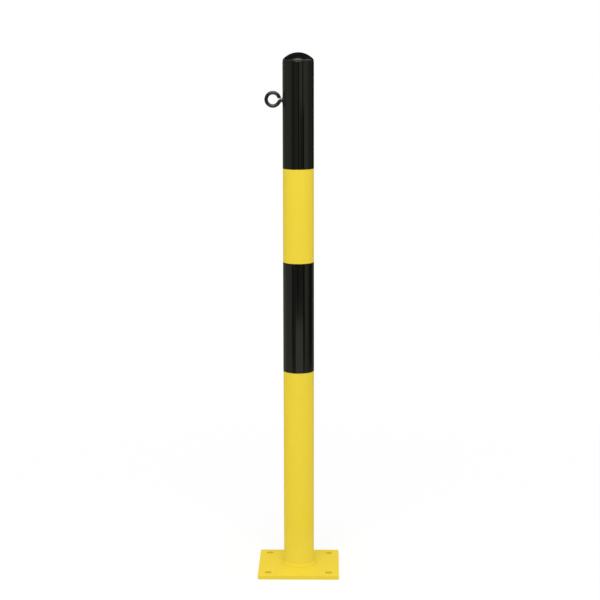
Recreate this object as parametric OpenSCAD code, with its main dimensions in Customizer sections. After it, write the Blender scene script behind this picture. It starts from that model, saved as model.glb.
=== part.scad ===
// Barrier post: a round steel tube on a square bolt-down plate, with a chain eye.
// Millimetres. The origin is the centre of the plate's underside, +Z is up,
// and the eye stands out of the tube towards -X.

/* [Post tube] */
// Outside diameter of the tube
tube_d = 60; // [48:0.5:76]
// Wall thickness of the tube
tube_wall = 2.5; // [2:0.1:4]
// Length of the tube, from the plate's top to its open end
tube_length = 1000; // [850:1:1300]

/* [Base plate] */
// Side of the square plate
plate_side = 160; // [140:1:220]
// Thickness of the plate
plate_thickness = 8; // [4:0.5:12]
// Radius of the plate's corners, seen from above
plate_corner_r = 3; // [2:0.5:12]
// Radius of the eased edge round the plate's top
plate_edge_r = 0.8; // [0.3:0.1:1.5]
// Distance from a hole's centre to the two edges beside it
bolt_edge = 20; // [14:0.5:26]
// Diameter of the four anchor holes
bolt_hole_d = 14; // [9:0.5:18]
// Diameter of the drain hole under the tube
drain_hole_d = 20; // [8:1:30]

/* [Weld] */
// Leg of the fillet weld round the tube's foot
weld_leg = 6; // [3:0.5:9]
// How far the weld's face bulges out past a flat one
weld_crown = 0.8; // [0.3:0.1:1.2]

/* [Bands] */
// Height of the upper black band, which starts at the tube's end
upper_band_h = 203.5; // [130:0.5:260]
// Height of the bare tube between the bands
band_gap = 183; // [60:1:230]
// Height of the lower black band
lower_band_h = 217; // [60:1:260]
// Thickness of the film
film_t = 0.2; // [0.1:0.05:0.5]
// How far a band laps over its own start, at the back
film_lap = 10; // [4:1:20]
// Room between the film's cut-out and the nut's flange
film_cut_clearance = 0.4; // [0.2:0.1:2]

/* [End cap] */
// Height of the cap's straight rim, above the tube's end
cap_rim_h = 3.2; // [1.5:0.1:8]
// Radius of the rim's lower edge, where it sits on the tube
cap_edge_r = 0.4; // [0.2:0.1:0.7]
// Radius of the shoulder between the rim and the dome
cap_shoulder_r = 4; // [1.5:0.5:6]
// Height of the dome above the rim
cap_rise = 15.4; // [11:0.1:22]
// Wall thickness of the dome
cap_wall = 2.5; // [1.5:0.1:3]
// Length of the plug that is pushed into the tube
plug_length = 22; // [16:1:30]
// Wall thickness of the plug
plug_wall = 1.8; // [1.2:0.1:3]
// Number of gripping fins round the plug
fin_count = 4; // [2:1:5]
// How far a fin stands out of the plug
fin_depth = 1.2; // [0.6:0.1:2]
// Thickness of a fin's rim
fin_rim = 0.5; // [0.3:0.1:1]
// Room between the fins and the tube's bore
plug_clearance = 0.1; // [0.05:0.05:0.4]

/* [Chain eye] */
// Depth of the eye's shank below the tube's end
eye_depth = 72.5; // [45:0.5:110]
// Diameter of the wire that the eye is bent from
wire_d = 7; // [5:0.5:8]
// Inside diameter of the ring
ring_inner_d = 18.5; // [16:0.5:40]
// Height of the ring's free end above the top of the shank
ring_gap = 0.3; // [0.2:0.1:4]
// Angle below the level where the neck leaves the ring
neck_angle = 33; // [28:1:45]
// Radius of the neck's bend, at the middle of the wire
neck_bend_r = 7; // [4.2:0.1:8]
// How far the ring's centre lies above the shank
ring_rise = 1.5; // [0:0.1:2]
// Length of the shank inside the nut
shank_length = 19; // [10:0.5:22]
// Chamfer round the shank's tip
shank_chamfer = 0.8; // [0.3:0.1:1.5]

/* [Rivet nut] */
// Diameter of the nut's flange
nut_flange_d = 12; // [12:0.5:18]
// How far the flange stands out of the tube
nut_flange_t = 0.8; // [0.5:0.1:2]
// Diameter of the nut's body
nut_body_d = 11; // [10:0.5:11]
// Length of the nut's body, from the face of the flange
nut_length = 17; // [13:0.5:20]
// Diameter of the bulge that clamps the wall from inside
nut_bulge_d = 15; // [13:0.5:18]
// Thickness of that bulge
nut_bulge_t = 4; // [2.5:0.5:5]
// Room between the nut's body and the hole in the tube
nut_hole_clearance = 0.05; // [0.05:0.05:0.3]
// Room between the eye's shank and the nut's bore
thread_clearance = 0.1; // [0.05:0.05:0.3]

/* [Hidden] */
$fn = 64;
yellow = "#EED33F";
black = "#1C1C1A";
eps = 0.01;

tube_r = tube_d / 2;
bore_r = tube_r - tube_wall;
tube_end = plate_thickness + tube_length;
hole_pitch = plate_side - 2 * bolt_edge;

upper_band_z = tube_end - upper_band_h;
lower_band_z = upper_band_z - band_gap - lower_band_h;
lap_angle = film_lap / tube_r * 180 / PI;

// The shoulder's arc touches the rim and the dome's sphere without a kink
rim_top = tube_end + cap_rim_h;
shoulder_x = tube_r - cap_shoulder_r;
dome_drop = (pow(shoulder_x, 2) - pow(cap_rise - cap_shoulder_r, 2)) / (2 * (cap_rise - cap_shoulder_r));
dome_r = cap_rise + dome_drop;
dome_z = rim_top - dome_drop;
fin_r = bore_r - plug_clearance;
plug_r = fin_r - fin_depth;
plug_bore_r = plug_r - plug_wall;
fin_pitch = plug_length / (fin_count + 0.5);

// The eye lies in the XZ plane, with x and z counted from the ring's centre
eye_z = tube_end - eye_depth;
ring_r = (ring_inner_d + wire_d) / 2;
neck_rise = 90 - neck_angle;
neck_x = ring_r * cos(neck_angle);
neck_z = -ring_r * sin(neck_angle);
neck_length = (-ring_rise - neck_z - neck_bend_r * (1 - cos(neck_rise))) / sin(neck_rise);
neck_reach = neck_x + neck_length * cos(neck_rise) + neck_bend_r * sin(neck_rise);
flange_face = tube_r + nut_flange_t;
ring_x = -flange_face - neck_reach;
ring_z = eye_z + ring_rise;
ring_end_angle = asin((wire_d / 2 + ring_gap - ring_rise) / (ring_r + wire_d / 2));

// Turns a shape's +Z to point out of the tube at the eye, counted from the tube's axis
module at_eye() {
    translate([0, 0, eye_z]) rotate([0, -90, 0]) children();
}

// A piece of bent wire in the XZ plane, from one angle round to another
module wire_arc(bend_r, from, to) {
    rotate([90, 0, 0]) rotate([0, 0, from]) rotate_extrude(angle = to - from)
        translate([bend_r, 0]) circle(d = wire_d);
}

// Straight wire, a hair thicker and longer than the bends, so that they run into it
module straight_wire(length) {
    translate([0, 0, -eps]) cylinder(d = wire_d + 2 * eps, h = length + 2 * eps);
}

module rounded_square(side, corner_r) {
    square([side, side - 2 * corner_r], center = true);
    square([side - 2 * corner_r, side], center = true);
    for (x = [-1, 1], y = [-1, 1])
        translate([x, y] * (side / 2 - corner_r)) circle(r = corner_r);
}

// A plate with a quarter-round edge along its top and round its corners
module eased_plate() {
    edge_z = plate_thickness - plate_edge_r;
    straight = plate_side - 2 * plate_corner_r;
    linear_extrude(edge_z) rounded_square(plate_side, plate_corner_r);
    linear_extrude(plate_thickness)
        rounded_square(plate_side - 2 * plate_edge_r, plate_corner_r - plate_edge_r);
    for (turn = [0:90:270]) rotate([0, 0, turn]) {
        translate([plate_side / 2 - plate_edge_r, straight / 2, edge_z]) rotate([90, 0, 0])
            linear_extrude(straight) circle(r = plate_edge_r);
        translate([straight / 2, straight / 2, edge_z]) rotate_extrude(angle = 90)
            translate([plate_corner_r - plate_edge_r, 0]) circle(r = plate_edge_r);
    }
}

module post_tube() {
    color(yellow) difference() {
        translate([0, 0, plate_thickness]) linear_extrude(tube_length) difference() {
            circle(r = tube_r);
            circle(r = bore_r);
        }
        at_eye() cylinder(d = nut_body_d + 2 * nut_hole_clearance, h = tube_d);
    }
}

module base_plate() {
    color(yellow) difference() {
        eased_plate();
        for (x = [-1, 1], y = [-1, 1])
            translate([x * hole_pitch / 2, y * hole_pitch / 2, -1])
                cylinder(d = bolt_hole_d, h = plate_thickness + 2);
        translate([0, 0, -1]) cylinder(d = drain_hole_d, h = plate_thickness + 2);
    }
}

// A fillet whose face is an arc through both toes, crowned outwards
module foot_weld() {
    toe_to_toe = weld_leg * sqrt(2);
    face_r = (pow(toe_to_toe / 2, 2) + pow(weld_crown, 2)) / (2 * weld_crown);
    face_centre = weld_leg / 2 - (face_r - weld_crown) / sqrt(2);
    color(yellow) translate([0, 0, plate_thickness]) rotate_extrude()
        translate([tube_r, 0]) intersection() {
            square(weld_leg);
            translate([face_centre, face_centre]) circle(r = face_r);
        }
}

// Everything under the dome's sphere and inside the line where the shoulder takes over
module dome_profile() {
    reach = 2 * dome_r / (dome_r - cap_shoulder_r);
    intersection() {
        translate([0, dome_z]) circle(r = dome_r);
        polygon([[0, tube_end], [shoulder_x, tube_end], [shoulder_x, rim_top],
                 [shoulder_x * reach, dome_z + dome_drop * reach],
                 [0, dome_z + dome_drop * reach]]);
    }
}

module fin_profile() {
    polygon([[plug_r - plug_wall / 2, 0], [plug_r, 0], [fin_r, fin_depth], [fin_r, fin_depth + fin_rim],
             [plug_r - plug_wall / 2, fin_depth + fin_rim]]);
}

module end_cap() {
    color(black) rotate_extrude() difference() {
        union() {
            translate([0, tube_end]) square([tube_r - cap_edge_r, cap_rim_h]);
            translate([tube_r - cap_edge_r, tube_end + cap_edge_r]) circle(r = cap_edge_r);
            translate([0, tube_end + cap_edge_r]) square([tube_r, cap_rim_h - cap_edge_r]);
            dome_profile();
            intersection() {
                translate([shoulder_x, rim_top]) circle(r = cap_shoulder_r);
                translate([0, tube_end + cap_edge_r]) square([tube_r, cap_rim_h + cap_rise]);
            }
            translate([0, tube_end - plug_length]) square([plug_r, plug_length + eps]);
            for (i = [0:fin_count - 1])
                translate([0, tube_end - plug_length + fin_pitch * (i + 0.3)]) fin_profile();
        }
        intersection() {
            translate([0, dome_z]) circle(r = dome_r - cap_wall);
            translate([-plug_bore_r, tube_end - plug_length - 1])
                square([2 * plug_bore_r, plug_length + cap_rim_h + cap_rise]);
        }
    }
}

// A film wrapped once round the tube, with its end lapped over its start at the back
module film_band(bottom, height) {
    translate([0, 0, bottom]) {
        linear_extrude(height) difference() {
            circle(r = tube_r + film_t);
            circle(r = tube_r);
        }
        rotate([0, 0, 90 - lap_angle / 2]) rotate_extrude(angle = lap_angle)
            translate([tube_r + film_t / 2, 0]) square([film_t * 1.5, height]);
    }
}

module upper_band() {
    color(black) difference() {
        film_band(upper_band_z, upper_band_h);
        at_eye() cylinder(d = nut_flange_d + 2 * film_cut_clearance, h = tube_d);
    }
}

module lower_band() {
    color(black) film_band(lower_band_z, lower_band_h);
}

// One wire: the shank, a bend up out of its line, the straight neck, and the ring
module chain_eye() {
    color(black) {
        translate([ring_x, 0, ring_z]) {
            wire_arc(ring_r, ring_end_angle, 360 - neck_angle);
            translate([neck_x, 0, neck_z]) rotate([0, neck_angle, 0]) straight_wire(neck_length);
            translate([neck_reach, 0, -ring_rise - neck_bend_r])
                wire_arc(neck_bend_r, 90, 90 + neck_rise);
        }
        at_eye() translate([0, 0, flange_face - shank_length]) {
            translate([0, 0, shank_chamfer]) straight_wire(shank_length - shank_chamfer);
            cylinder(d1 = wire_d - 2 * shank_chamfer, d2 = wire_d, h = shank_chamfer);
        }
    }
}

// A rivet nut after setting: the flange outside, the folded bulge behind the wall, the body inside
module rivet_nut() {
    color(black) difference() {
        union() {
            difference() {
                at_eye() translate([0, 0, bore_r]) cylinder(d = nut_flange_d, h = flange_face - bore_r);
                translate([0, 0, eye_z - tube_r]) cylinder(r = tube_r, h = tube_d);
            }
            at_eye() translate([0, 0, flange_face - nut_length]) cylinder(d = nut_body_d, h = nut_length);
            intersection() {
                at_eye() translate([0, 0, bore_r - nut_bulge_t]) rotate_extrude() {
                    square([(nut_bulge_d - nut_bulge_t) / 2, nut_bulge_t + tube_wall]);
                    translate([(nut_bulge_d - nut_bulge_t) / 2, nut_bulge_t / 2]) circle(d = nut_bulge_t);
                }
                translate([0, 0, eye_z - tube_r]) cylinder(r = bore_r, h = tube_d);
            }
        }
        at_eye() cylinder(d = wire_d + 2 * thread_clearance, h = tube_d);
    }
}

post_tube();
base_plate();
foot_weld();
end_cap();
upper_band();
lower_band();
chain_eye();
rivet_nut();
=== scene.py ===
import math

import bmesh
import bpy
from mathutils import Matrix, Vector


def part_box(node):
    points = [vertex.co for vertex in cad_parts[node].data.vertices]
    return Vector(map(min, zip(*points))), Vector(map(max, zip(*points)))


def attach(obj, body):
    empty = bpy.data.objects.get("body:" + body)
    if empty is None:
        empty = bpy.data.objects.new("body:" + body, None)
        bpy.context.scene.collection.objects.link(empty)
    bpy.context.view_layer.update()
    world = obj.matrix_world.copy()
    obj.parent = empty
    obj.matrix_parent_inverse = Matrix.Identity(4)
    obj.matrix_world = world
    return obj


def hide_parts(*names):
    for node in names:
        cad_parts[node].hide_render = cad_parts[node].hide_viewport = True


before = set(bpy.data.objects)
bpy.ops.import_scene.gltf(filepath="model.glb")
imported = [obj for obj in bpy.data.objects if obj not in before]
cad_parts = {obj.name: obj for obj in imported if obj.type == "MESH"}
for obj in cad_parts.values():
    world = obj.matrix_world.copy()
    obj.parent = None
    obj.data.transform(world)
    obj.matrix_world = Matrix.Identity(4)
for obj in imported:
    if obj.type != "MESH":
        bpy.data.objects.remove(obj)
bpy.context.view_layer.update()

scene = bpy.context.scene
mm = 0.001
samePoint = 1e-7           # points closer than this, in metres, are one point
sliver = 0.005 * mm        # points and edges closer than this are merged after a cut
noiseSpan = (0.3, 0.7)     # where nearly all the values of a noise texture lie

print("frame loaded:", ", ".join(sorted(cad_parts)))


# Helpers for nodes

def link(tree, fromSocket, toSocket):
    tree.links.new(fromSocket, toSocket)


def addNode(tree, kind, values=None, **settings):
    node = tree.nodes.new(kind)
    for name, value in settings.items():
        setattr(node, name, value)
    for key, value in (values or {}).items():
        if isinstance(value, bpy.types.NodeSocket):
            link(tree, value, node.inputs[key])
        else:
            node.inputs[key].default_value = value
    return node


def mathNode(tree, operation, first, second=0.0):
    return addNode(tree, "ShaderNodeMath", {0: first, 1: second}, operation=operation).outputs[0]


def newMaterial(name, settings):
    material = bpy.data.materials.new(name)
    material.use_nodes = True
    tree = material.node_tree
    shader = tree.nodes["Principled BSDF"]
    for key, value in settings.items():
        shader.inputs[key].default_value = value
    material.diffuse_color = shader.inputs["Base Color"].default_value
    return material, tree, shader


# A material with no shader yet, for what glows or changes with the kind of ray
def bareMaterial(name):
    material = bpy.data.materials.new(name)
    material.use_nodes = True
    material.node_tree.nodes.clear()
    return material, material.node_tree


# Noise on the object's own coordinates, its scale in waves to the metre
def surfaceNoise(tree, scale, stretch=(1, 1, 1), detail=2.0, roughness=0.5):
    coords = addNode(tree, "ShaderNodeTexCoord").outputs["Object"]
    mapped = addNode(tree, "ShaderNodeMapping", {"Vector": coords, "Scale": stretch}).outputs[0]
    values = {"Vector": mapped, "Scale": scale, "Detail": detail, "Roughness": roughness}
    return addNode(tree, "ShaderNodeTexNoise", values).outputs["Fac"]


def spread(tree, noise, low, high):
    values = {"Value": noise, "From Min": noiseSpan[0], "From Max": noiseSpan[1],
              "To Min": low, "To Max": high}
    return addNode(tree, "ShaderNodeMapRange", values).outputs[0]


def mixColours(tree, factor, first, second):
    mix = addNode(tree, "ShaderNodeMix", data_type="RGBA")
    link(tree, factor, mix.inputs["Factor"])
    for key, colour in (("A", first), ("B", second)):
        if isinstance(colour, bpy.types.NodeSocket):
            link(tree, colour, mix.inputs[key])
        else:
            mix.inputs[key].default_value = colour
    return mix.outputs["Result"]


# Roughness that wanders between the two ends of the gloss, patch by patch
def addGloss(tree, shader, settings):
    patches = surfaceNoise(tree, **settings["patches"])
    link(tree, spread(tree, patches, *settings["gloss"]), shader.inputs["Roughness"])
    return patches


# Bumps laid over each other, each from a noise and a depth
def addRelief(tree, shader, settings):
    normal = None
    for noise, depth in settings["relief"]:
        values = {"Height": surfaceNoise(tree, **noise), "Strength": 1.0, "Distance": depth}
        bump = addNode(tree, "ShaderNodeBump", values)
        if normal:
            link(tree, normal, bump.inputs["Normal"])
        normal = bump.outputs[0]
    link(tree, normal, shader.inputs["Normal"])


# Finishes

yellowCoat = {
    "shader": {"IOR": 1.5, "Specular IOR Level": 0.12},
    "light": (0.876, 0.670, 0.046, 1.0),
    "deep": (0.860, 0.654, 0.042, 1.0),
    "gloss": (0.54, 0.62),     # roughness from the smoothest patches to the dullest
    "patches": {"scale": 14.0, "stretch": (1, 1, 0.35), "detail": 3.0},
    "relief": [({"scale": 420.0, "detail": 1.0, "roughness": 0.4}, 0.014 * mm)],    # orange peel
    "weldPaintedShade": 0.945,        # painted shade: the coat is painted a little darker over the weld, against the extra light its upturned face catches
    # painted light: the paler yellow painted at the tube's foot, against the plate's bounce light
    "foot": (0.868, 0.705, 0.070, 1.0),
    "footReach": 0.11,         # metres up the tube over which the paler foot fades out
}

blackFilm = {
    "shader": {"Base Color": (0.0022, 0.0022, 0.0018, 1.0), "IOR": 1.5},
    "gloss": (0.08, 0.13),
    "patches": {"scale": 22.0, "stretch": (1, 1, 0.4), "detail": 3.0},
    "relief": [                # long waves up the film, and finer ones on them
        ({"scale": 30.0, "stretch": (1, 1, 0.06), "roughness": 0.45}, 0.1 * mm),
        ({"scale": 210.0, "stretch": (1, 1, 0.12), "detail": 1.0, "roughness": 0.4}, 0.006 * mm),
    ],
}

capPlastic = {
    "shader": {"Base Color": (0.0022, 0.0022, 0.0021, 1.0), "IOR": 1.48},
    "gloss": (0.20, 0.27),
    "patches": {"scale": 60.0, "detail": 3.0},
    "relief": [({"scale": 1500.0}, 0.004 * mm)],    # the mould's fine grain
}

blackSteel = {
    "shader": {"Base Color": (0.0055, 0.0053, 0.0042, 1.0), "IOR": 1.6},
    "gloss": (0.12, 0.20),
    "patches": {"scale": 150.0, "detail": 3.0},
    "relief": [({"scale": 180.0}, 0.05 * mm)],      # the coating's uneven flow
}

nutSteel = {
    "shader": {"Base Color": (0.016, 0.016, 0.017, 1.0), "Metallic": 0.35},
    "gloss": (0.30, 0.42),
    "patches": {"scale": 300.0, "detail": 3.0},
    "relief": [({"scale": 900.0, "stretch": (6, 1, 1)}, 0.006 * mm)],    # turning marks
}


# Painted light: the tube's coat is painted a little paler by the plate, to even out the yellow light that
# the plate throws on it
def paintedPaleFoot(tree, colour):
    coords = addNode(tree, "ShaderNodeTexCoord").outputs["Object"]
    height = addNode(tree, "ShaderNodeSeparateXYZ", {0: coords}).outputs["Z"]
    values = {"Value": height, "From Max": yellowCoat["footReach"], "To Min": 1.0, "To Max": 0.0}
    share = addNode(tree, "ShaderNodeMapRange", values, interpolation_type="SMOOTHERSTEP").outputs[0]
    return mixColours(tree, share, colour, yellowCoat["foot"])


def shaded(colour, shade):
    return tuple(shade * part for part in colour[:3]) + (1.0,)


def makeYellowCoat(name, shade=1.0, foot=False):
    material, tree, shader = newMaterial(name, yellowCoat["shader"])
    light = shaded(yellowCoat["light"], shade)
    deep = shaded(yellowCoat["deep"], shade)
    patches = addGloss(tree, shader, yellowCoat)
    colour = mixColours(tree, spread(tree, patches, 0, 1), light, deep)
    link(tree, paintedPaleFoot(tree, colour) if foot else colour, shader.inputs["Base Color"])
    addRelief(tree, shader, yellowCoat)
    return material


def makeFinish(name, settings):
    material, tree, shader = newMaterial(name, settings["shader"])
    addGloss(tree, shader, settings)
    addRelief(tree, shader, settings)
    return material


yellow = makeYellowCoat("yellowCoat")
tubeYellow = makeYellowCoat("tubeCoat", foot=True)
# the weld's coat carries painted shade, darker than the tube's
weldYellow = makeYellowCoat("weldCoat", shade=yellowCoat["weldPaintedShade"])
film = makeFinish("blackFilm", blackFilm)
plastic = makeFinish("capPlastic", capPlastic)
steel = makeFinish("blackSteel", blackSteel)
nutFinish = makeFinish("nutSteel", nutSteel)
print("finishes made")


# Helpers for meshes

def addObject(name, verts, edges, faces):
    mesh = bpy.data.meshes.new(name)
    mesh.from_pydata(verts, edges, faces)
    item = bpy.data.objects.new(name, mesh)
    scene.collection.objects.link(item)
    return item


def newPiece(name, verts, faces, material):
    piece = addObject(name, verts, [], faces)
    work = bmesh.new()
    work.from_mesh(piece.data)
    bmesh.ops.remove_doubles(work, verts=work.verts, dist=samePoint)
    bmesh.ops.recalc_face_normals(work, faces=work.faces)
    work.to_mesh(piece.data)
    work.free()
    piece.data.materials.append(material)
    return piece


# Takes the place of a modifier stack: the evaluated mesh becomes the piece's own
def bakeModifiers(piece):
    graph = bpy.context.evaluated_depsgraph_get()
    done = bpy.data.meshes.new_from_object(piece.evaluated_get(graph), depsgraph=graph)
    done.name = piece.name
    piece.modifiers.clear()
    piece.data = done


# Shades a finished piece smooth, but for the edges that turn by more than the angle,
# and lets it stand for its node
def settle(piece, node, sharpAngle):
    piece.data.shade_smooth()
    piece.data.set_sharp_from_angle(angle=math.radians(sharpAngle))
    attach(piece, "root")
    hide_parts(node)


# A closed outline of (radius, height) turned once round the Z axis
def turned(name, outline, sides, material):
    verts, faces = [], []
    for i in range(sides):
        angle = 2 * math.pi * i / sides
        verts += [(r * math.cos(angle), r * math.sin(angle), z) for r, z in outline]
    count = len(outline)
    for i in range(sides):
        here, after = i * count, (i + 1) % sides * count
        for j in range(count):
            k = (j + 1) % count
            if outline[j][0] == 0 and outline[k][0] == 0:
                continue
            corners = [here + j, here + k, after + k, after + j]
            if outline[j][0] == 0:
                corners = [here + j, here + k, after + k]
            if outline[k][0] == 0:
                corners = [here + j, here + k, after + j]
            faces.append(corners)
    return newPiece(name, verts, faces, material)


def arcPoints(centre, radius, fromAngle, toAngle, steps):
    points = []
    for i in range(steps + 1):
        angle = math.radians(fromAngle + (toAngle - fromAngle) * i / steps)
        points.append((centre[0] + radius * math.cos(angle), centre[1] + radius * math.sin(angle)))
    return points


# Post tube

tubeLow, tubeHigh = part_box("post_tube")

tube = {
    "radius": tubeHigh.x,
    "wall": 2.5 * mm,
    "bottom": tubeLow.z,
    "top": tubeHigh.z,
    "sides": 192,
    "longRows": [0.30, 0.60, 0.85],    # metres up, where the long wall is split into shorter faces
    "rowPitch": 4 * mm,
    "rowsBeside": 3,           # above and below the hole
    "nutHoleRadius": 5.55 * mm,
    "eyeDepth": 72.5 * mm,     # from the tube's end down to the eye's shank
    "sharpAngle": 40,
}

drill = {
    "middle": -0.04,           # along X, so that only the wall on the eye's side is cut
    "length": 0.06,
    "sides": 64,
}

eyeHeight = tube["top"] - tube["eyeDepth"]


# Heights of the rows that keep the faces round the eye's hole short
def rowsAtEye(pitch, beside):
    return [eyeHeight + pitch * i for i in range(-beside, beside + 1)]


# Cuts a round hole along X through a piece's wall, at the eye's height
def drillHole(piece, radius):
    cutter = addObject("cutter", [], [], [])
    work = bmesh.new()
    turn = Matrix.Translation((drill["middle"], 0, eyeHeight)) @ Matrix.Rotation(math.pi / 2, 4, "Y")
    bmesh.ops.create_cone(work, cap_ends=True, segments=drill["sides"], radius1=radius, radius2=radius,
                          depth=drill["length"], matrix=turn)
    work.to_mesh(cutter.data)
    work.free()
    cut = piece.modifiers.new("hole", "BOOLEAN")
    cut.object = cutter
    cut.solver = "EXACT"
    bakeModifiers(piece)
    bpy.data.objects.remove(cutter)
    work = bmesh.new()
    work.from_mesh(piece.data)
    bmesh.ops.remove_doubles(work, verts=work.verts, dist=sliver)
    bmesh.ops.dissolve_degenerate(work, edges=work.edges, dist=sliver)
    work.to_mesh(piece.data)
    work.free()


def makeTube():
    inner = tube["radius"] - tube["wall"]
    eyeRows = rowsAtEye(tube["rowPitch"], tube["rowsBeside"])
    rows = [tube["bottom"]] + tube["longRows"] + eyeRows + [tube["top"]]
    outline = [(tube["radius"], z) for z in rows] + [(inner, z) for z in reversed(rows)]
    piece = turned("postTube", outline, tube["sides"], tubeYellow)
    drillHole(piece, tube["nutHoleRadius"])
    settle(piece, "post_tube", tube["sharpAngle"])


makeTube()
print("tube made")


# Black bands: each is one wrap of film whose end laps over its start at the back

bands = {
    "thickness": 0.2 * mm,
    "lap": 10 * mm,
    "lapRise": 1.2 * mm,       # how far round the tube the film takes to climb onto its own edge
    "lapAir": 0.01 * mm,       # left between the two layers
    "columns": 224,
    "rowPitch": 3 * mm,
    "rowsBeside": 4,           # above and below the cut-out
    "flangeCutRadius": 6.05 * mm,
    "sharpAngle": 30,
}


def makeBand(name, node, rows):
    bottom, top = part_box(node)[0].z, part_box(node)[1].z
    rows = [bottom] + rows + [top]
    radius, thick = tube["radius"], bands["thickness"]
    lapTurn = bands["lap"] / radius
    riseTurn = bands["lapRise"] / radius
    start = math.pi / 2 - lapTurn / 2
    span = 2 * math.pi + lapTurn
    turns = [span * i / bands["columns"] for i in range(bands["columns"] + 1)]
    verts, faces = [], []
    for turn in turns:
        climb = min(max((turn - 2 * math.pi + riseTurn) / riseTurn, 0.0), 1.0)
        inner = radius + (thick + bands["lapAir"]) * climb * climb * (3 - 2 * climb)
        for r in (inner, inner + thick):
            verts += [(r * math.cos(start + turn), r * math.sin(start + turn), z) for z in rows]
    count = len(rows)
    for i in range(bands["columns"]):
        here, after = i * 2 * count, (i + 1) * 2 * count
        for j in range(count - 1):
            for k in (j, count + j):
                faces.append((here + k, after + k, after + k + 1, here + k + 1))
        faces.append((here, after, after + count, here + count))
        faces.append((here + count - 1, after + count - 1, after + 2 * count - 1, here + 2 * count - 1))
    for end in (0, bands["columns"] * 2 * count):
        for j in range(count - 1):
            faces.append((end + j, end + j + 1, end + count + j + 1, end + count + j))
    return newPiece(name, verts, faces, film)


def makeBands():
    upper = makeBand("upperBand", "upper_band", rowsAtEye(bands["rowPitch"], bands["rowsBeside"]))
    drillHole(upper, bands["flangeCutRadius"])
    settle(upper, "upper_band", bands["sharpAngle"])
    lower = makeBand("lowerBand", "lower_band", [])
    settle(lower, "lower_band", bands["sharpAngle"])


makeBands()
print("bands made")


# Helpers for Geometry Nodes

def floatInput(tree, name, default):
    socket = tree.interface.new_socket(name=name, in_out="INPUT", socket_type="NodeSocketFloat")
    socket.default_value = default
    return socket.identifier


def newGeometryTree(name, sizes):
    tree = bpy.data.node_groups.new(name, "GeometryNodeTree")
    tree.interface.new_socket(name="Geometry", in_out="INPUT", socket_type="NodeSocketGeometry")
    tree.interface.new_socket(name="Geometry", in_out="OUTPUT", socket_type="NodeSocketGeometry")
    identifiers = {key: floatInput(tree, key, value) for key, value in sizes.items()}
    start = tree.nodes.new("NodeGroupInput")
    end = tree.nodes.new("NodeGroupOutput")
    return tree, identifiers, start.outputs, end


def pushAlongNormal(tree, geometry, distance):
    normal = addNode(tree, "GeometryNodeInputNormal").outputs[0]
    push = addNode(tree, "ShaderNodeVectorMath", {0: normal}, operation="SCALE")
    link(tree, distance, push.inputs["Scale"])
    values = {"Geometry": geometry, "Offset": push.outputs[0]}
    return addNode(tree, "GeometryNodeSetPosition", values).outputs[0]


def finishTree(tree, geometry, material, end):
    real = addNode(tree, "GeometryNodeRealizeInstances", {"Geometry": geometry}).outputs[0]
    values = {"Geometry": real, "Material": material}
    painted = addNode(tree, "GeometryNodeSetMaterial", values).outputs[0]
    link(tree, painted, end.inputs[0])


def runTree(piece, tree, identifiers, sizes):
    modifier = piece.modifiers.new(tree.name, "NODES")
    modifier.node_group = tree
    for key, value in sizes.items():
        modifier[identifiers[key]] = value
    bakeModifiers(piece)


# Weld bead: a profile turned round the tube's foot, with ripples left by the torch

weldLow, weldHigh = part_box("foot_weld")

weld = {
    "leg": weldHigh.z - weldLow.z,
    "crown": 0.8 * mm,
    "faceSteps": 10,
    "ripplePitch": 2.4 * mm,
    "rippleHeight": 0.32 * mm,
    "crestSkew": 0.7,          # below 1, each ripple rises faster than it falls
    "wander": 0.35 * mm,       # how far the toe strays in and out
    "driftScale": 160.0,       # of the noise that makes the ripples uneven
    "stepsRound": 720,
    "seed": 7,
    "sharpAngle": 60,
}


# The weld's section as (distance out, height) from the corner of tube and plate
def weldSection():
    leg, crown = weld["leg"], weld["crown"]
    half = leg / math.sqrt(2)
    faceRadius = (half * half + crown * crown) / (2 * crown)
    centre = leg / 2 - (faceRadius - crown) / math.sqrt(2)
    sweep = math.degrees(math.asin(half / faceRadius))
    face = arcPoints((centre, centre), faceRadius, 45 - sweep, 45 + sweep, weld["faceSteps"])
    return [(0.0, 0.0)] + face


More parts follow.
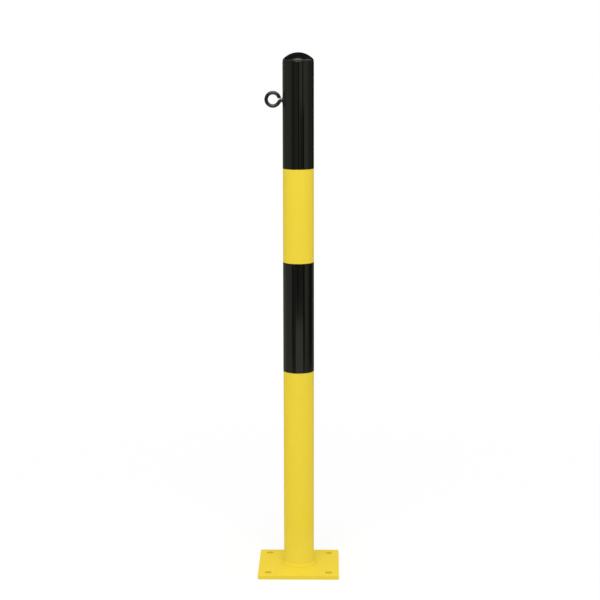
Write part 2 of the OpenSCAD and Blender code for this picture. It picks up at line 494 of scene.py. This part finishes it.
def weldTree(sizes):
    tree, identifiers, give, end = newGeometryTree("weldBead", sizes)

    def calc(*terms):
        return mathNode(tree, *terms)

    position = addNode(tree, "GeometryNodeInputPosition").outputs[0]
    x, y, z = addNode(tree, "ShaderNodeSeparateXYZ", {0: position}).outputs
    around = calc("MULTIPLY", calc("ARCTAN2", y, x), give["Tube radius"])
    fromAxis = calc("SQRT", calc("ADD", calc("MULTIPLY", x, x), calc("MULTIPLY", y, y)))
    out = calc("SUBTRACT", fromAxis, give["Tube radius"])
    rise = calc("SUBTRACT", z, give["Plate top"])
    # zero on the tube and on the plate, one at the middle of the weld's face
    halfLeg = calc("MULTIPLY", give["Leg"], 0.5)
    middle = calc("DIVIDE", calc("MULTIPLY", out, rise), calc("MULTIPLY", halfLeg, halfLeg))
    share = calc("MINIMUM", middle, 1.0)
    # each ripple is a crescent: its crest trails behind at the two toes
    slant = calc("MULTIPLY", calc("SUBTRACT", 1.0, share), give["Ripple pitch"])
    noise = {"Vector": position, "Scale": weld["driftScale"], "W": give["Seed"]}
    drift = addNode(tree, "ShaderNodeTexNoise", noise, noise_dimensions="4D").outputs["Fac"]
    drift = calc("SUBTRACT", drift, 0.5)
    travel = calc("ADD", calc("ADD", around, slant), calc("MULTIPLY", drift, give["Ripple pitch"]))
    phase = calc("FRACT", calc("DIVIDE", travel, give["Ripple pitch"]))
    crest = calc("SINE", calc("MULTIPLY", calc("POWER", phase, weld["crestSkew"]), math.pi))
    # the crests reach the plain weld's face, and the hollows lie below it
    lift = calc("MULTIPLY", calc("MULTIPLY", crest, share), give["Ripple height"])
    stray = calc("MULTIPLY", calc("MULTIPLY", drift, share), give["Wander"])
    move = calc("SUBTRACT", calc("ADD", lift, stray), calc("MULTIPLY", give["Ripple height"], share))
    moved = pushAlongNormal(tree, give["Geometry"], move)
    smooth = addNode(tree, "GeometryNodeSetShadeSmooth", {"Geometry": moved}).outputs[0]
    finishTree(tree, smooth, weldYellow, end)
    return tree, identifiers


def makeWeld():
    section = [(tube["radius"] + out, tube["bottom"] + rise) for out, rise in weldSection()]
    piece = turned("footWeld", section, weld["stepsRound"], weldYellow)
    sizes = {
        "Tube radius": tube["radius"], "Plate top": tube["bottom"], "Leg": weld["leg"],
        "Ripple pitch": weld["ripplePitch"], "Ripple height": weld["rippleHeight"],
        "Wander": weld["wander"], "Seed": float(weld["seed"]),
    }
    tree, identifiers = weldTree(sizes)
    runTree(piece, tree, identifiers, sizes)
    settle(piece, "foot_weld", weld["sharpAngle"])


makeWeld()
print("weld made")


# Chain eye: one wire, from the ring's free end round to the neck and along the shank

flangeFace = -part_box("rivet_nut")[0].x

eye = {
    "wireRadius": 3.5 * mm,
    "ringRadius": 12.75 * mm,  # to the middle of the wire
    "gap": 0.3 * mm,           # from the top of the shank up to the ring's free end
    "neckAngle": 33.0,         # where the neck leaves the ring, in degrees below the level
    "bendRadius": 7 * mm,
    "ringRise": 1.5 * mm,      # the ring's centre above the shank
    "shankLength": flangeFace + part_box("chain_eye")[1].x,
    "cutEdge": 0.35 * mm,      # the small round on the wire's cut ends
    "threadPitch": 1.25 * mm,
    "threadDepth": 0.6 * mm,
    "threadStart": 1.5 * mm,   # from the flange's face into the nut
    "sides": 40,
    "ringSteps": 120,
    "neckSteps": 8,
    "bendSteps": 14,
    "shankSteps": 160,
    "sharpAngle": 50,
}


# Points along the wire in the XZ plane, as (x, z), and the length where the shank starts
def wireRoute():
    ringR, bendR, ringRise = eye["ringRadius"], eye["bendRadius"], eye["ringRise"]
    rise = math.radians(90 - eye["neckAngle"])
    leave = math.radians(-eye["neckAngle"])
    neckX, neckZ = ringR * math.cos(leave), ringR * math.sin(leave)
    straight = (-ringRise - neckZ - bendR * (1 - math.cos(rise))) / math.sin(rise)
    reach = neckX + straight * math.cos(rise) + bendR * math.sin(rise)
    ring = (-flangeFace - reach, eyeHeight + ringRise)
    endRise = eye["wireRadius"] + eye["gap"] - ringRise
    endAngle = math.degrees(math.asin(endRise / (ringR + eye["wireRadius"])))
    points = arcPoints(ring, ringR, endAngle, 360 - eye["neckAngle"], eye["ringSteps"])
    for i in range(1, eye["neckSteps"] + 1):
        along = straight * i / eye["neckSteps"]
        points.append((ring[0] + neckX + along * math.cos(rise), ring[1] + neckZ + along * math.sin(rise)))
    bend = (ring[0] + reach, eyeHeight - bendR)
    points += arcPoints(bend, bendR, 90 + math.degrees(rise), 90, eye["bendSteps"])[1:]
    bent = sum(math.dist(a, b) for a, b in zip(points, points[1:]))
    step = eye["shankLength"] / eye["shankSteps"]
    points += [(points[-1][0] + step * i, eyeHeight) for i in range(1, eye["shankSteps"] + 1)]
    return points, bent


# Marks each point of a curve with a value that the swept wire carries on
def keepOnCurve(tree, curve, name, value):
    keep = addNode(tree, "GeometryNodeCaptureAttribute", {"Geometry": curve}, domain="POINT")
    keep.capture_items.new("FLOAT", name)
    link(tree, value, keep.inputs[1])
    return keep.outputs[0], keep.outputs[1]


def eyeTree(sizes):
    tree, identifiers, give, end = newGeometryTree("wireAlongRoute", sizes)

    def calc(*terms):
        return mathNode(tree, *terms)

    route = addNode(tree, "GeometryNodeMeshToCurve", {"Mesh": give["Geometry"]}).outputs[0]
    spline = addNode(tree, "GeometryNodeSplineParameter")
    route, along = keepOnCurve(tree, route, "along", spline.outputs["Length"])
    circle = addNode(tree, "GeometryNodeCurvePrimitiveCircle", {"Resolution": eye["sides"]}, mode="RADIUS")
    link(tree, give["Wire radius"], circle.inputs["Radius"])
    profile, turn = keepOnCurve(tree, circle.outputs[0], "turn", spline.outputs["Factor"])
    values = {"Curve": route, "Profile Curve": profile, "Fill Caps": True}
    wire = addNode(tree, "GeometryNodeCurveToMesh", values).outputs[0]
    # the thread is cut inwards, so its crests keep the wire's own size
    screw = calc("ADD", calc("DIVIDE", along, give["Thread pitch"]), turn)
    groove = calc("PINGPONG", screw, 0.5)
    depth = calc("MULTIPLY", calc("MULTIPLY", groove, 2.0), give["Thread depth"])
    fullDepth = calc("ADD", give["Thread start"], give["Thread pitch"])
    values = {"Value": along, "From Min": give["Thread start"], "From Max": fullDepth}
    runIn = addNode(tree, "ShaderNodeMapRange", values).outputs[0]
    cut = calc("MULTIPLY", depth, runIn)
    # both ends of the wire lose their sharp rim
    toEnd = calc("MINIMUM", along, calc("SUBTRACT", give["Wire length"], along))
    rim = calc("MAXIMUM", calc("SUBTRACT", give["Cut edge"], toEnd), 0.0)
    inward = calc("MULTIPLY", calc("ADD", cut, rim), -1.0)
    finishTree(tree, pushAlongNormal(tree, wire, inward), steel, end)
    return tree, identifiers


def makeEye():
    points, bent = wireRoute()
    verts = [(x, 0.0, z) for x, z in points]
    edges = [(i, i + 1) for i in range(len(verts) - 1)]
    piece = addObject("chainEye", verts, edges, [])
    sizes = {
        "Wire radius": eye["wireRadius"], "Thread pitch": eye["threadPitch"],
        "Thread depth": eye["threadDepth"], "Thread start": bent + eye["threadStart"],
        "Wire length": bent + eye["shankLength"], "Cut edge": eye["cutEdge"],
    }
    tree, identifiers = eyeTree(sizes)
    runTree(piece, tree, identifiers, sizes)
    settle(piece, "chain_eye", eye["sharpAngle"])


makeEye()
print("eye made")


# End cap: a lathe outline with the same sizes as the moulded part

capLow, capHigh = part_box("end_cap")

cap = {
    "rim": 3.2 * mm,
    "shoulder": 4 * mm,
    "wall": 2.5 * mm,
    "plugLength": tube["top"] - capLow.z,
    "plugWall": 1.8 * mm,
    "fins": 4,
    "finDepth": 1.2 * mm,
    "finRim": 0.5 * mm,
    "firstFin": 0.3,           # from the plug's foot up, as a share of the fins' pitch
    "spareFin": 0.5,           # pitches left over when the fins are spaced along the plug
    "clearance": 0.1 * mm,
    "edge": 0.03 * mm,         # the rim's lower edge, all but sharp so that the seam stays black
    "step": 0.35 * mm,         # the shoulder stands back from the rim by this much
    "stepDrop": 1.2 * mm,      # from the rim's full height down to the bevel's foot
    "stepSlope": 1.1,          # the bevel's height as a share of its depth
    "edgeSteps": 5,
    "shoulderSteps": 14,
    "domeSteps": 40,
    "innerSteps": 24,
    "sharpAngle": 35,
}


# The plug's bore and fins, from the inside at its foot up to the tube's end
def plugOutline(boreR):
    depth, rim = cap["finDepth"], cap["finRim"]
    plugR = boreR + cap["plugWall"]
    finR = plugR + depth
    bottom = tube["top"] - cap["plugLength"]
    pitch = cap["plugLength"] / (cap["fins"] + cap["spareFin"])
    outline = [(boreR, bottom), (plugR, bottom)]
    for i in range(cap["fins"]):
        z = bottom + pitch * (i + cap["firstFin"])
        outline += [(plugR, z), (finR, z + depth), (finR, z + depth + rim), (plugR, z + depth + rim)]
    return outline + [(plugR, tube["top"])]


def capOutline():
    seat, radius, step = tube["top"], tube["radius"], cap["step"]
    rimTop = seat + cap["rim"]
    rise = capHigh.z - rimTop
    boreR = radius - tube["wall"] - cap["clearance"] - cap["finDepth"] - cap["plugWall"]
    outline = plugOutline(boreR)
    # the rim, with the bevelled step at its top
    outline += arcPoints((radius - cap["edge"], seat + cap["edge"]), cap["edge"], -90, 0, cap["edgeSteps"])
    bevelFoot = rimTop - cap["stepDrop"]
    outline += [(radius, bevelFoot), (radius - step, bevelFoot + step * cap["stepSlope"])]
    # the shoulder meets both the rim and the dome's sphere without a kink
    shoulderX = radius - cap["shoulder"]
    over = rise - cap["shoulder"]
    drop = (shoulderX ** 2 - over ** 2) / (2 * over)
    domeRadius = rise + drop
    domeZ = rimTop - drop
    insetX = shoulderX - step
    insetZ = domeZ + math.sqrt((domeRadius - cap["shoulder"]) ** 2 - insetX ** 2)
    lean = math.degrees(math.atan2(insetZ - domeZ, insetX))
    outline += arcPoints((insetX, insetZ), cap["shoulder"], 0, lean, cap["shoulderSteps"])
    outline += arcPoints((0, domeZ), domeRadius, lean, 90, cap["domeSteps"])[1:-1]
    # the hollow below the dome
    innerR = domeRadius - cap["wall"]
    innerLean = math.degrees(math.acos(boreR / innerR))
    outline += [(0.0, domeZ + domeRadius), (0.0, domeZ + innerR)]
    outline += arcPoints((0, domeZ), innerR, 90, innerLean, cap["innerSteps"])[1:]
    return outline


# It has as many sides as the tube, so that neither shows past the other
def makeCap():
    piece = turned("endCap", capOutline(), tube["sides"], plastic)
    settle(piece, "end_cap", cap["sharpAngle"])


makeCap()
print("cap made")


# The plate and the nut keep their own solids

for nodeName, finish in (("base_plate", yellow), ("rivet_nut", nutFinish)):
    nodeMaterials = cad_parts[nodeName].data.materials
    nodeMaterials.clear()
    nodeMaterials.append(finish)
print("plate and nut painted")


# Camera

camera = {
    "place": (0.0600, -3.2510, 1.1311),
    "turn": 1.008,             # degrees from +Y towards -X
    "down": 10.207,            # degrees below the level
    "roll": -0.094,
    "lens": 101.1,             # millimetres
    "sensor": 36.0,            # millimetres wide
    "clip": (0.05, 100.0),
}


def makeCamera():
    data = bpy.data.cameras.new("camera")
    data.lens = camera["lens"]
    data.sensor_width = camera["sensor"]
    data.clip_start, data.clip_end = camera["clip"]
    item = bpy.data.objects.new("camera", data)
    item.rotation_mode = "QUATERNION"
    turn = Matrix.Rotation(math.radians(camera["turn"]), 3, "Z")
    tilt = Matrix.Rotation(math.radians(90 - camera["down"]), 3, "X")
    roll = Matrix.Rotation(math.radians(camera["roll"]), 3, "Z")
    item.rotation_quaternion = (turn @ tilt @ roll).to_quaternion()
    item.location = camera["place"]
    scene.collection.objects.link(item)
    scene.camera = item


# Stage: a white floor that keeps the post's shadow, and a white world behind it

stage = {
    "floorSize": 30.0,
    "bounceColour": (0.70, 0.70, 0.70, 1.0),
    "seenColour": (0.97, 0.97, 0.97, 1.0),
    "white": (1.0, 1.0, 1.0, 1.0),
    "whiteNear": 0.70,         # share of plain white mixed in beside the post
    "whiteFrom": 0.15,         # metres from the post at which that share starts to grow
    "whiteRadius": 1.4,        # metres from the post at which the floor is plain white
    "worldFill": 0.80,
}


# One for rays that see the background: from the camera, in reflections and through glass
def seesBackground(tree):
    path = addNode(tree, "ShaderNodeLightPath").outputs
    camOrGlossy = mathNode(tree, "MAXIMUM", path["Is Camera Ray"], path["Is Glossy Ray"])
    return mathNode(tree, "MAXIMUM", camOrGlossy, path["Is Transmission Ray"])


def makeFloor():
    half = stage["floorSize"] / 2
    corners = [(-half, -half, 0), (half, -half, 0), (half, half, 0), (-half, half, 0)]
    floor = addObject("floor", corners, [], [(0, 1, 2, 3)])
    material, tree = bareMaterial("floorWhite")
    coords = addNode(tree, "ShaderNodeTexCoord").outputs["Object"]
    away = addNode(tree, "ShaderNodeVectorMath", {0: coords}, operation="LENGTH").outputs["Value"]
    values = {"Value": away, "From Min": stage["whiteFrom"], "From Max": stage["whiteRadius"],
              "To Min": stage["whiteNear"], "To Max": 1.0}
    share = addNode(tree, "ShaderNodeMapRange", values).outputs[0]
    bounce = addNode(tree, "ShaderNodeBsdfDiffuse", {"Color": stage["bounceColour"]}).outputs[0]
    matte = addNode(tree, "ShaderNodeBsdfDiffuse", {"Color": stage["seenColour"]}).outputs[0]
    white = addNode(tree, "ShaderNodeEmission", {"Color": stage["white"], "Strength": 1.0}).outputs[0]
    seen = addNode(tree, "ShaderNodeMixShader", {0: share, 1: matte, 2: white}).outputs[0]
    mixed = addNode(tree, "ShaderNodeMixShader", {0: seesBackground(tree), 1: bounce, 2: seen}).outputs[0]
    out = addNode(tree, "ShaderNodeOutputMaterial")
    link(tree, mixed, out.inputs["Surface"])
    floor.data.materials.append(material)


def whiteSky(tree, strength):
    values = {"Color": stage["white"], "Strength": strength}
    return addNode(tree, "ShaderNodeBackground", values).outputs[0]


def makeWorld():
    world = bpy.data.worlds.new("world")
    scene.world = world
    world.use_nodes = True
    tree = world.node_tree
    tree.nodes.clear()
    fill = whiteSky(tree, stage["worldFill"])
    white = whiteSky(tree, 1.0)
    mixed = addNode(tree, "ShaderNodeMixShader", {0: seesBackground(tree), 1: fill, 2: white}).outputs[0]
    out = addNode(tree, "ShaderNodeOutputWorld")
    link(tree, mixed, out.inputs["Surface"])


# Lamps

lamps = {
    "key": {"place": (-0.03, -1.75, 3.2), "aim": (0, 0, 0.5), "size": (1.8, 1.8), "watts": 44.0},
}


def makeLamp(name, settings):
    data = bpy.data.lights.new(name, "AREA")
    data.shape = "RECTANGLE"
    data.size, data.size_y = settings["size"]
    data.energy = settings["watts"]
    item = bpy.data.objects.new(name, data)
    item.location = settings["place"]
    item.rotation_mode = "QUATERNION"
    item.rotation_quaternion = (Vector(settings["aim"]) - item.location).to_track_quat("-Z", "Y")
    item.visible_glossy = False
    scene.collection.objects.link(item)


# Studio cards that only reflections see: dark cloth all round, and panels that glow on it.
# Azimuth is in degrees from the camera's side, positive towards +X. Heights are in metres, and
# a pair of radii leans the card, low edge first.

cards = {
    "cloth": {"azimuth": (-180, 180), "height": (0.0, 3.2), "radius": (1.75, 1.75), "glow": 0.045},
    "leftFar": {"azimuth": (-150, -95), "height": (0.0, 1.4), "radius": (1.6, 1.6), "glow": 0.25},
    "leftPanel": {"azimuth": (-95, -56), "height": (0.0, 1.4), "radius": (1.6, 1.6), "glow": 0.38},
    "leftFoot": {"azimuth": (-128, -96), "height": (0.0, 0.45), "radius": (1.58, 1.58), "glow": 0.36},
    "leftLow": {"azimuth": (-72, -48.5), "height": (0.0, 0.5), "radius": (1.58, 1.58), "glow": 0.46},
    "leftSlip": {"azimuth": (-57, -52), "height": (0.5, 1.4), "radius": (1.58, 1.58), "glow": 0.44},
    "leftEdge": {"azimuth": (-56, -40), "height": (0.5, 1.4), "radius": (1.6, 1.6), "glow": 0.20},
    "frontLeft": {"azimuth": (-40, -25), "height": (0.0, 1.4), "radius": (1.6, 1.6), "glow": 0.15},
    "frontHigh": {"azimuth": (-25, 4), "height": (0.5, 1.4), "radius": (1.6, 1.6), "glow": 0.26},
    "frontLow": {"azimuth": (-25, -10), "height": (0.0, 0.5), "radius": (1.6, 1.6), "glow": 0.15},
    "rightHigh": {"azimuth": (4, 34), "height": (0.82, 1.4), "radius": (1.6, 1.6), "glow": 0.52},
    "rightGap": {"azimuth": (29, 36), "height": (0.82, 1.4), "radius": (1.58, 1.58), "glow": 0.16},
    "midGap": {"azimuth": (0, 7), "height": (0.5, 1.4), "radius": (1.58, 1.58), "glow": 0.01},
    "rightMid": {"azimuth": (4, 15), "height": (0.5, 0.82), "radius": (1.6, 1.6), "glow": 0.36},
    "rightLow": {"azimuth": (4, 34), "height": (0.0, 0.82), "radius": (1.62, 1.62), "glow": 0.16},
    "rightNook": {"azimuth": (34, 49), "height": (0.82, 1.4), "radius": (1.6, 1.6), "glow": 0.35},
    "rightSlip": {"azimuth": (45, 49), "height": (0.5, 1.4), "radius": (1.58, 1.58), "glow": 0.55},
    "rightPanel": {"azimuth": (49, 66), "height": (0.0, 1.4), "radius": (1.6, 1.6), "glow": 0.50},
    "rightDip": {"azimuth": (57, 75), "height": (0.0, 0.45), "radius": (1.58, 1.58), "glow": 0.36},
    "rightFaint": {"azimuth": (75, 87), "height": (0.0, 0.45), "radius": (1.58, 1.58), "glow": 0.20},
    "rightSoft": {"azimuth": (66, 85), "height": (0.0, 1.4), "radius": (1.6, 1.6), "glow": 0.37},
    "rightFoot": {"azimuth": (121, 142), "height": (0.0, 0.4), "radius": (1.6, 1.6), "glow": 0.20},
    "rightBack": {"azimuth": (85, 121), "height": (0.4, 1.4), "radius": (1.6, 1.6), "glow": 0.17},
    "lowPaper": {"azimuth": (-20, 34), "height": (0.0, 0.22), "radius": (1.56, 1.56), "glow": 0.68},
    "topLight": {"azimuth": (-42, 45), "height": (1.72, 2.15), "radius": (1.6, 1.05), "glow": 3.6},
    "topHigh": {"azimuth": (-62, 45), "height": (2.15, 2.45), "radius": (1.05, 0.55), "glow": 3.6},
    "topSpot": {"azimuth": (-70, 65), "height": (2.45, 2.72), "radius": (0.55, 0.10), "glow": 5.5},
    "topRight": {"azimuth": (45, 120), "height": (1.2, 2.35), "radius": (1.6, 0.95), "glow": 1.6},
    "topLeft": {"azimuth": (-140, -84), "height": (1.22, 1.55), "radius": (1.6, 1.6), "glow": 1.1},
    "leftHigh": {"azimuth": (-84, -56), "height": (1.15, 2.1), "radius": (1.59, 1.3), "glow": 1.3},
}

cardTint = (1.0, 1.025, 0.86, 1.0)    # warm white, as the film shows it
cardStep = 5                          # degrees that one flat face of a card takes up


def glowMaterial(name, glow):
    material, tree = bareMaterial(name)
    light = addNode(tree, "ShaderNodeEmission", {"Color": cardTint, "Strength": glow}).outputs[0]
    out = addNode(tree, "ShaderNodeOutputMaterial")
    link(tree, light, out.inputs["Surface"])
    return material


def makeCard(name, settings):
    fromAngle, toAngle = settings["azimuth"]
    steps = max(2, round((toAngle - fromAngle) / cardStep))
    verts, faces = [], []
    for i in range(steps + 1):
        angle = math.radians(fromAngle + (toAngle - fromAngle) * i / steps)
        for radius, height in zip(settings["radius"], settings["height"]):
            verts.append((radius * math.sin(angle), -radius * math.cos(angle), height))
        if i:
            faces.append((2 * i - 2, 2 * i, 2 * i + 1, 2 * i - 1))
    if name == "cloth":
        faces.append([2 * i + 1 for i in range(steps)])    # its roof
    card = addObject(name, verts, [], faces)
    card.data.materials.append(glowMaterial(name, settings["glow"]))
    card.visible_camera = False
    card.visible_diffuse = False
    card.visible_transmission = False
    card.visible_volume_scatter = False
    card.visible_shadow = False


makeCamera()
makeFloor()
makeWorld()
for lampName, lampSettings in lamps.items():
    makeLamp(lampName, lampSettings)
for cardName, cardSettings in cards.items():
    makeCard(cardName, cardSettings)
scene.view_settings.view_transform = "Standard"
print("stage set")
